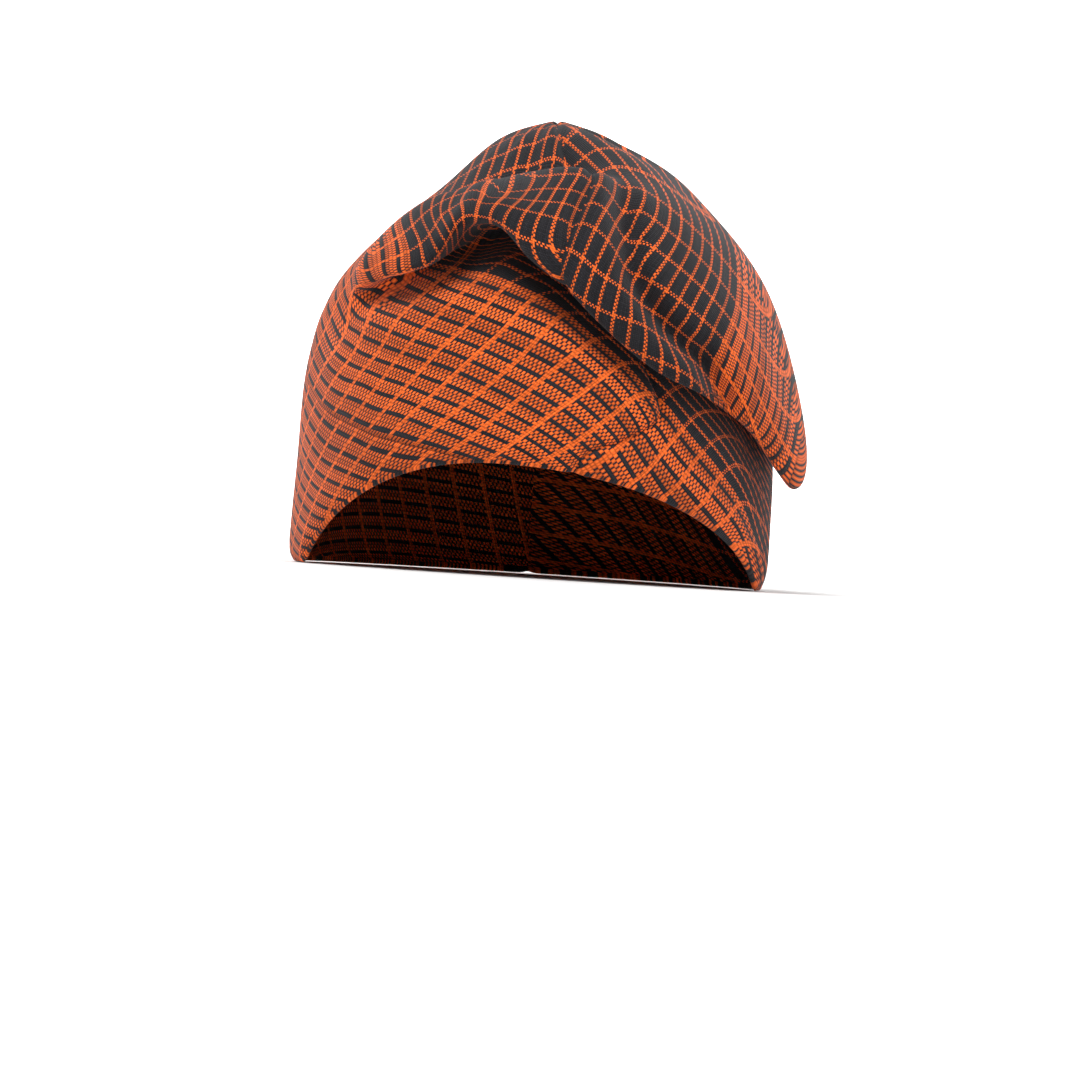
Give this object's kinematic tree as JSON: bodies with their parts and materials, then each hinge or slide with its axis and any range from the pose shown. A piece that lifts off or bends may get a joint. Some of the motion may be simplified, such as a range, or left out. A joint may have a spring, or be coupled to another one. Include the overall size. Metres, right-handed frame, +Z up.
{
  "type": "soft woven fila cap",
  "caption": "Soft brimless woven cap with an arched front rim and a tall crown folded forward into a diagonal roll with a drooping side tip.",
  "frame": {"origin": "bottom centre of the cap's bounding box, on the surface that the rim rests on", "axes": "+Z up, -Y toward the front of the cap, +X toward the drooping tip"},
  "size_m": [0.1748, 0.2118, 0.1596],
  "materials": {
    "left_cloth": "matte hand-woven check, orange and charcoal",
    "right_cloth": "matte hand-woven check, charcoal and orange"
  },
  "bodies": {
    "root": {"left_panel": "left_cloth", "right_panel": "right_cloth"}
  },
  "joints": []
}
